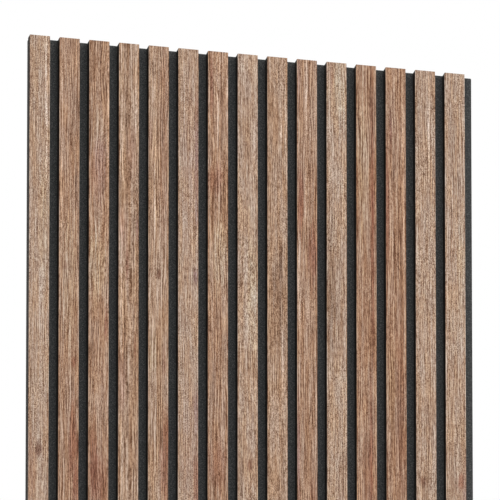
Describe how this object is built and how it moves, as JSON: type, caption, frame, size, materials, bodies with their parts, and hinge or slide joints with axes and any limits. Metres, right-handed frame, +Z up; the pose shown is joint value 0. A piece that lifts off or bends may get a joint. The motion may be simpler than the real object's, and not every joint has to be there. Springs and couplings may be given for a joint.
{
  "type": "acoustic slat wall panel",
  "caption": "Tall wall panel of parallel veneered slats stapled to a dark felt backing, with open gaps between the slats that let sound reach the felt.",
  "frame": {"origin": "middle of the felt's back face, where the panel meets the wall", "axes": "+Z up the slats, +Y into the wall, -Y out into the room, +X to the right for someone who faces the panel"},
  "size_m": [0.599, 0.021, 2.4],
  "materials": {
    "wood_veneer": "matt lacquered veneer, straight grain up the slat with fine dark pores",
    "black_fibreboard": "medium-density fibreboard dyed black all through, sawn and sanded",
    "felt": "needled polyester felt, charcoal, with faint pale and dark fibres",
    "staple_wire": "galvanised fine wire"
  },
  "bodies": {
    "root": {"felt_backing": "felt", "slat_core_01": "black_fibreboard", "slat_core_02": "black_fibreboard", "slat_core_03": "black_fibreboard", "slat_core_04": "black_fibreboard", "slat_core_05": "black_fibreboard", "slat_core_06": "black_fibreboard", "slat_core_07": "black_fibreboard", "slat_core_08": "black_fibreboard", "slat_core_09": "black_fibreboard", "slat_core_10": "black_fibreboard", "slat_core_11": "black_fibreboard", "slat_core_12": "black_fibreboard", "slat_core_13": "black_fibreboard", "slat_core_14": "black_fibreboard", "slat_core_15": "black_fibreboard", "slat_veneer_01": "wood_veneer", "slat_veneer_02": "wood_veneer", "slat_veneer_03": "wood_veneer", "slat_veneer_04": "wood_veneer", "slat_veneer_05": "wood_veneer", "slat_veneer_06": "wood_veneer", "slat_veneer_07": "wood_veneer", "slat_veneer_08": "wood_veneer", "slat_veneer_09": "wood_veneer", "slat_veneer_10": "wood_veneer", "slat_veneer_11": "wood_veneer", "slat_veneer_12": "wood_veneer", "slat_veneer_13": "wood_veneer", "slat_veneer_14": "wood_veneer", "slat_veneer_15": "wood_veneer", "staples": "staple_wire"}
  },
  "joints": []
}
